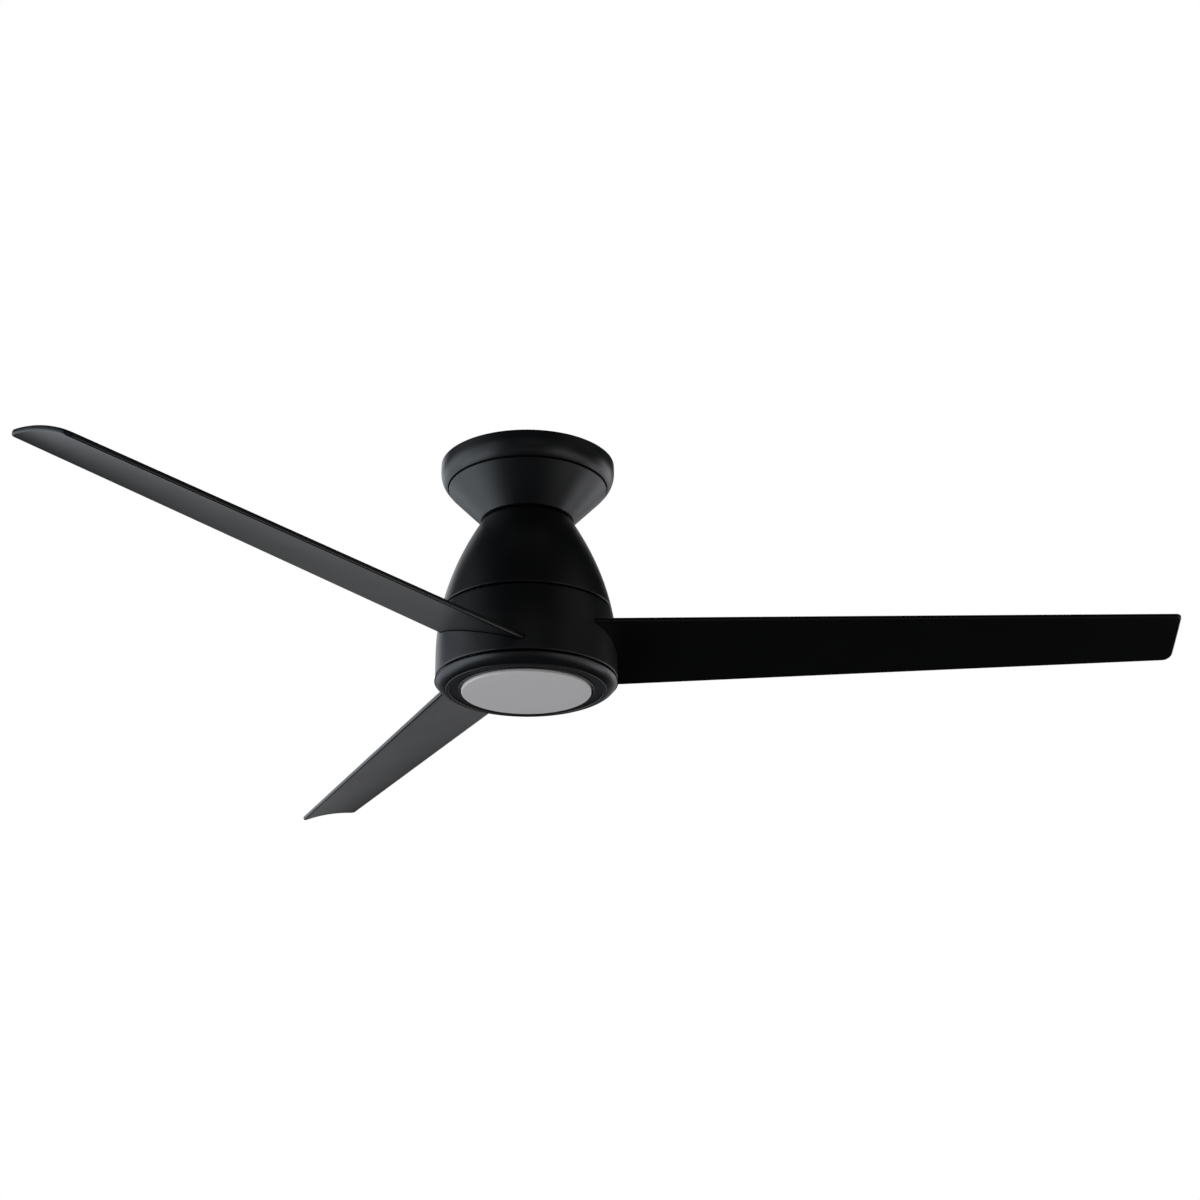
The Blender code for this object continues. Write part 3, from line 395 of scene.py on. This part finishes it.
def blade_point(x, y, height):
    """A point on the arched blade, in the blade's own frame, from its place on the flat outline."""
    high, low = blade_edges(x)
    across = (y - high) / (low - high)
    along = (x - BLADE_ROOT) / (SWEEP_RADIUS - BLADE_ROOT)
    shift = -TIP_SKEW * across + 4 * TIP_BOW * across * (1 - across)
    arch = 4 * TIP_CAMBER * along * across * (1 - across) - TIP_DROOP * along ** 2
    return Vector((x + along * shift, y, arch + height))


def blade_border(inset):
    """The outline drawn in by inset: its high, low, root and tip sides as flat points."""
    length_steps, corner_steps, tip_steps = 60, 6, 14

    def corner(side, start, end):
        sign = (-1, 1)[side]
        centre_x = SWEEP_RADIUS - TIP_CORNERS[side]
        centre_y = blade_edges(centre_x)[side] - sign * TIP_CORNERS[side]
        radius = TIP_CORNERS[side] - inset
        angles = [math.radians(a) for a in spread(start, end, corner_steps + 1)]
        return [(centre_x + radius * math.sin(a), centre_y + sign * radius * math.cos(a)) for a in angles]

    sides = []
    for side, sign in ((0, 1), (1, -1)):
        straight = [(x, blade_edges(x)[side] + sign * inset)
                    for x in spread(BLADE_ROOT + inset, SWEEP_RADIUS - TIP_CORNERS[side], length_steps + 1)]
        sides.append(straight + corner(side, 0, 45)[1:])
    high, low = sides
    high_tip, low_tip = corner(0, 45, 90), corner(1, 90, 45)
    flat_tip = [(high_tip[-1][0], y) for y in spread(high_tip[-1][1], low_tip[0][1], tip_steps + 1)]
    tip = high_tip + flat_tip[1:] + low_tip[1:]
    root = [(high[0][0], y) for y in spread(high[0][1], low[0][1], len(tip))]
    return high, low, root, tip


def blade_mesh(name, margin=0.0):
    """A blade with round edges: rings that climb its edge, and a grid on each face."""
    shape = bmesh.new()
    edge_steps = 5
    radius = EDGE_RADIUS + margin
    thickness = BLADE_THICKNESS + 2 * margin
    levels = []
    for step in range(edge_steps + 1):
        a = math.pi / 2 * step / edge_steps
        levels.append((radius * (1 - math.sin(a)), radius * (1 - math.cos(a))))
    levels += [(inset, thickness - height) for inset, height in reversed(levels)]

    def ring(inset, height):
        high, low, root, tip = blade_border(inset - margin)
        loop = root[:-1] + low[:-1] + tip[:0:-1] + high[:0:-1]
        return [shape.verts.new(blade_point(x, y, height - margin)) for x, y in loop]

    rings = [ring(*level) for level in levels]
    for first, second in zip(rings, rings[1:]):
        for i in range(len(first)):
            j = (i + 1) % len(first)
            shape.faces.new((first[i], first[j], second[j], second[i]))
    for loop, (inset, height) in ((rings[0], levels[0]), (rings[-1], levels[-1])):
        face_grid(shape, loop, blade_border(inset - margin), height - margin)
    return mesh_object(name, shape)


def face_grid(shape, loop, border, height):
    """Fills one face of the blade with a grid that meets its border's points."""
    high, low, root, tip = border
    rows, columns = len(high) - 1, len(root) - 1
    grid = {}
    for j in range(columns):
        grid[(0, j)] = loop[j]
    for i in range(rows):
        grid[(i, columns)] = loop[columns + i]
    for j in range(columns):
        grid[(rows, columns - j)] = loop[columns + rows + j]
    for i in range(rows):
        grid[(rows - i, 0)] = loop[2 * columns + rows + i]
    for i in range(1, rows):
        for j in range(1, columns):
            u, v = i / rows, j / columns
            place = [
                (1 - v) * high[i][k] + v * low[i][k] + (1 - u) * root[j][k] + u * tip[j][k]
                - (1 - u) * ((1 - v) * root[0][k] + v * root[-1][k])
                - u * ((1 - v) * tip[0][k] + v * tip[-1][k])
                for k in (0, 1)
            ]
            grid[(i, j)] = shape.verts.new(blade_point(*place, height))
    for i in range(rows):
        for j in range(columns):
            corners = ((i, j), (i + 1, j), (i + 1, j + 1), (i, j + 1))
            shape.faces.new([grid[corner] for corner in corners])


def blade_place(number):
    """A blade's own frame: X along the blade, Y towards its low edge, Z square to its face."""
    turn = Matrix.Rotation(math.tau * number / BLADE_COUNT, 4, "Z")
    return turn @ Matrix.Translation((0, 0, SPIN_Z)) @ Matrix.Rotation(-BLADE_PITCH, 4, "X")


def blades():
    """The three blades, alike, each in its own place around the rotor."""
    for number in range(BLADE_COUNT):
        blade = blade_mesh(f"blade_{number + 1}_surface")
        blade.data.transform(blade_place(number))
        settle(blade, "rotor", "blade_black", f"blade_{number + 1}")


def rotor_body():
    """The turning lower part: a wall with the blades' slots, a web inside and a lip behind the seam."""
    low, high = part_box("rotor_body")
    top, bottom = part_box("dome_shell")[0].z - SEAM, low.z
    lip_radius, web_top, web_bottom, bore = 0.0800, -0.1723, -0.1753, 0.016
    edge_radius, top_edge = 0.0015, 0.0008
    side = [(housing_radius(z), z) for z in spread(top - top_edge, bottom + edge_radius, 30)]
    edge = arc((side[-1][0] - edge_radius, bottom + edge_radius), edge_radius, -10, -90, 7)
    inside = [(housing_radius(z) - BODY_WALL, z) for z in spread(bottom, web_bottom, 10)]
    outline = [
        (lip_radius - SHEET, high.z), (lip_radius, high.z), (lip_radius, top),
        (side[0][0] - top_edge, top), (side[0][0] - 0.0002, top - 0.0003), *side, *edge,
        *inside, (bore, web_bottom), (bore, web_top), (lip_radius - SHEET, web_top),
    ]
    body = lathe("rotor_body_shell", outline)
    slots = [blade_mesh("cutter", SLOT_CLEARANCE) for _ in range(BLADE_COUNT)]
    for number, slot in enumerate(slots):
        slot.data.transform(blade_place(number))
    cut(body, slots)
    settle(body, "rotor", "black_coat", "rotor_body")


# The light ------------------------------------------------------------------------------------


def light_ring():
    """A rounded bead under the rotor body that curls in to a thin edge."""
    low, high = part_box("light_ring")
    top, bead_radius, bead_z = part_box("rotor_body")[0].z - SEAM, 0.0140, -0.2416
    bead = arc((high.x - bead_radius, bead_z), bead_radius, -17, -80, 26)
    shoulder_radius = 0.0009
    shoulder = arc((0.0946, top - shoulder_radius), shoulder_radius, 90, 8, 6)
    lip, wall, edge, inside = 0.0865, 0.002, 0.0844, 0.0880
    flange, flange_top, flange_bottom = 0.070, -0.2413, -0.2433
    outline = [
        (flange, flange_top), (lip, flange_top), (lip, top), *shoulder, *bead,
        (edge + 0.0002, low.z), (edge, low.z + 0.0003), (edge, -0.2527),
        (inside, -0.2510), (inside, -0.2495), (lip - wall, -0.2470),
        (lip - wall, flange_bottom), (flange, flange_bottom),
    ]
    settle(lathe("light_ring_shell", outline), "housing", "black_coat", "light_ring")


def lens_retainer():
    """A flat ring with a raised rim around its outside and a small raised lip around the lens."""
    low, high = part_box("lens_retainer")
    radius, face, inner, back, wall = high.x, low.z, LENS_RADIUS + 0.0016, -0.2535, 0.0019
    rim, rim_width, lip = face - 0.0013, 0.0030, face - 0.0011
    outline = fillet([
        (inner, high.z), (inner + wall, high.z), (inner + wall, back), (radius, back, 0.0003),
        (radius, rim, 0.0014), (radius - rim_width, rim, 0.0014),
        (radius - rim_width - 0.0004, face, 0.0003),
        (inner + 0.0018, face, 0.0003), (inner + 0.0012, lip, 0.0004), (inner, lip, 0.0004),
    ], 6)
    settle(lathe("lens_retainer_surface", outline), "housing", "retainer_black", "lens_retainer")


def diffuser_lens():
    """An opal cup with a rounded edge and a flange that rests above its retainer."""
    low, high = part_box("diffuser_lens")
    radius, face, flange_bottom, wall, rounding = LENS_RADIUS, low.z, -0.2511, 0.0012, 0.0016
    centre = (radius - rounding, face + rounding)
    outline = [
        (0, face + wall), *arc(centre, rounding - wall, -90, 0, 6), (radius - wall, high.z),
        (high.x, high.z), (high.x, flange_bottom), (radius, flange_bottom),
        *arc(centre, rounding, 0, -90, 12), (radius * 0.6, face), (radius * 0.3, face), (0, face),
    ]
    settle(lathe("diffuser_lens_surface", outline), "housing", "opal", "diffuser_lens")


# The ceiling bracket and its screws -----------------------------------------------------------


def ceiling_bracket():
    """A pressed pan with slots for the ceiling box's screws and round holes that save weight."""
    low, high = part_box("ceiling_bracket")
    radius, hole, thickness, wall = high.x, 0.024, 0.0024, 0.0018
    slot_start, slot_end, slot_half = 0.036, 0.050, 0.00275
    light_hole, light_circle = 0.008, 0.067
    screw_hole, screw_head, earth_circle = 0.0023, 0.0056, 0.050
    under, over = -0.004, 0.002
    pan = lathe("ceiling_bracket_pan", fillet([
        (hole, 0, 0.0006), (radius, 0, 0.0020), (radius, low.z, 0.0005), (radius - wall, low.z, 0.0005),
        (radius - wall, -thickness, 0.0012), (hole, -thickness, 0.0006),
    ]), 128)
    cutters = []
    for angle in (45, 135, 225, 315):
        cutters.append(block((slot_start, -slot_half, under), (slot_end, slot_half, over), around(angle)))
        cutters += [peg(slot_half, under, over, around(angle, end)) for end in (slot_start, slot_end)]
    for angle in (15, 105, 195, 285):
        cutters.append(peg(light_hole, under, over, around(angle, light_circle), steps=48))
    for angle in POST_ANGLES:
        cutters.append(peg(screw_hole, under, over, around(angle, POST_CIRCLE)))
        cutters.append(peg(screw_hole, -thickness, 0.0005, around(angle, POST_CIRCLE), screw_head))
    cutters.append(peg(screw_hole, under, over, around(270, earth_circle)))
    cut(pan, cutters, 30)
    settle(pan, "housing", "zinc_steel", "ceiling_bracket")


def post_screws():
    """Countersunk cross-head screws."""
    head_z, tip_z, shank = -0.0002, -0.013, 0.0018
    recess_high = Vector((0.0024, 0.0005, 0.002))
    recess_low = Vector((-0.0024, -0.0005, -0.0014))
    for number, angle in enumerate(POST_ANGLES, 1):
        screw = lathe(f"post_screw_{number}_head", [
            (0, head_z + 0.00008), (0.0020, head_z + 0.00005), (0.0038, head_z), (0.0040, head_z - 0.0002),
            (0.0039, -0.0006), (shank, -0.0024), (shank, tip_z + 0.001), (0.0012, tip_z), (0, tip_z),
        ], SCREW_STEPS)
        recess = [block(recess_low, recess_high, Matrix.Rotation(a, 4, "Z")) for a in (0, math.pi / 2)]
        cut(screw, recess, 30)
        screw.data.transform(around(angle, POST_CIRCLE))
        settle(screw, "housing", "bearing_steel", f"post_screw_{number}")


# Camera, floor and light ----------------------------------------------------------------------

CAMERA_PLACE = (0.2964, -2.0144, -0.9606)
CAMERA_TURN = math.radians(8.371)
CAMERA_TILT = math.radians(21.609)
CAMERA_ROLL = math.radians(0.390)
CAMERA_LENS = 62.31       # millimetres
CAMERA_SENSOR = 36
CAMERA_SHIFT = 0.0610
FLOOR_Z = -2.4
FLOOR_SIZE = 300
FLOOR_TONE = 0.12
FLOOR_GLOW = 0.72
SURROUND_GLOW = 0.004     # what the surround adds to the fan's light
PANEL_DISTANCE = 3.0

COOL = (0.92, 0.99, 1.07)
PLAIN = (0.98, 0.99, 1.02)
# name, azimuth and elevation in degrees, width and height in metres, watts, colour
PANELS = (
    ("left_low", 200, -30, (3.0, 1.6), 33, COOL),
    ("left", 185, 0, (2.4, 1.6), 21, COOL),
    ("left_front", 225, 0, (1.6, 1.6), 8, COOL),
    ("left_high", 190, 30, (2.4, 1.6), 2.7, COOL),
    ("back_left_low", 155, -28, (1.4, 1.2), 8, COOL),
    ("back_left", 145, 0, (1.8, 1.6), 11, COOL),
    ("back_left_high", 128, 20, (1.2, 1.0), 3, COOL),
    ("back", 112, 0, (1.8, 1.6), 2.85, PLAIN),
    ("back_high", 105, 32, (3.0, 1.6), 11.5, PLAIN),
    ("back_right", 80, 0, (1.6, 1.6), 4.2, PLAIN),
    ("right_back", 45, 0, (1.8, 1.6), 17, PLAIN),
    ("right_back_low", 25, -28, (1.4, 1.2), 10, PLAIN),
    ("right_high", -10, 30, (2.4, 1.6), 2, PLAIN),
    ("right_low", -20, -30, (3.0, 1.6), 14.5, PLAIN),
    ("right_front", -35, 0, (1.6, 1.6), 1.4, PLAIN),
    ("front", -80, 5, (2.0, 1.6), 1.9, PLAIN),
    ("front_low", -90, -35, (2.0, 1.4), 1.6, PLAIN),
    ("above", 0, 88, (2.4, 2.4), 1.8, PLAIN),
)
# Two wide lights that leave no reflection: name, elevation in degrees, watts, metres away
SOFT_LIGHTS = (("bounce", -89, 45, 2.2), ("sky", 89, 60, 3.0))
SOFT_SIZE = (8.0, 8.0)


def camera():
    """The main view: from the front and below, turned, tilted up and rolled a little."""
    lens = bpy.data.cameras.new("camera")
    lens.lens = CAMERA_LENS
    lens.sensor_width = CAMERA_SENSOR
    lens.shift_x = CAMERA_SHIFT
    made = bpy.data.objects.new("camera", lens)
    turn = Matrix.Rotation(CAMERA_TURN, 4, "Z")
    tilt = Matrix.Rotation(math.pi / 2 + CAMERA_TILT, 4, "X")
    roll = Matrix.Rotation(CAMERA_ROLL, 4, "Z")
    made.matrix_world = Matrix.Translation(CAMERA_PLACE) @ turn @ tilt @ roll
    bpy.context.scene.collection.objects.link(made)
    bpy.context.scene.camera = made


def panel(name, azimuth_deg, elevation_deg, size, power, colour=PLAIN, distance=PANEL_DISTANCE):
    """A soft light that faces the fan, placed by the direction that it shines from."""
    centre = Vector((0, 0, SPIN_Z / 2))
    a, e = math.radians(azimuth_deg), math.radians(elevation_deg)
    out = Vector((math.cos(a) * math.cos(e), math.sin(a) * math.cos(e), math.sin(e)))
    light = bpy.data.lights.new(name, "AREA")
    light.shape = "RECTANGLE"
    light.size, light.size_y = size
    light.energy = power
    light.color = colour
    made = bpy.data.objects.new(name, light)
    made.location = centre + out * distance
    made.rotation_mode = "QUATERNION"
    made.rotation_quaternion = out.to_track_quat("Z", "Y")
    made.visible_camera = False
    bpy.context.scene.collection.objects.link(made)
    return made


def floor():
    """A wide pale floor, far enough below to stay out of the fan's own light and reflections."""
    shape = bmesh.new()
    bmesh.ops.create_grid(shape, x_segments=4, y_segments=4, size=FLOOR_SIZE)
    bmesh.ops.translate(shape, vec=(0, 0, FLOOR_Z), verts=shape.verts)
    made = mesh_object("floor", shape)
    material = bpy.data.materials.new("floor_paint")
    material.use_nodes = True
    shader = material.node_tree.nodes["Principled BSDF"]
    shader.inputs["Base Color"].default_value = (FLOOR_TONE, FLOOR_TONE, FLOOR_TONE, 1)
    shader.inputs["Roughness"].default_value = 0.9
    shader.inputs["Emission Color"].default_value = (1, 1, 1, 1)
    shader.inputs["Emission Strength"].default_value = FLOOR_GLOW
    made.data.materials.append(material)
    made.visible_glossy = False
    made.visible_diffuse = False


def studio():
    """A white surround behind the fan and a dim one for its light, with soft panels."""
    world = bpy.data.worlds.new("studio")
    bpy.context.scene.world = world
    world.use_nodes = True
    tree = world.node_tree
    link = tree.links.new
    dim = tree.nodes["Background"]
    dim.inputs["Color"].default_value = (1, 1, 1, 1)
    dim.inputs["Strength"].default_value = SURROUND_GLOW
    white = add_node(tree, "ShaderNodeBackground")
    white.inputs["Color"].default_value = (1, 1, 1, 1)
    white.inputs["Strength"].default_value = 1.0
    path = add_node(tree, "ShaderNodeLightPath")
    chosen = add_node(tree, "ShaderNodeMixShader")
    link(path.outputs["Is Camera Ray"], chosen.inputs[0])
    link(dim.outputs[0], chosen.inputs[1])
    link(white.outputs[0], chosen.inputs[2])
    link(chosen.outputs[0], tree.nodes["World Output"].inputs["Surface"])
    bpy.context.scene.view_settings.view_transform = "Standard"

    for values in PANELS:
        panel(*values)
    for name, elevation, power, distance in SOFT_LIGHTS:
        soft = panel(name, 0, elevation, SOFT_SIZE, power, distance=distance)
        soft.visible_glossy = False


finish_cad_nodes()
canopy_ring()
canopy_cone()
dome()
blades()
rotor_body()
light_ring()
lens_retainer()
diffuser_lens()
ceiling_bracket()
post_screws()
camera()
floor()
studio()
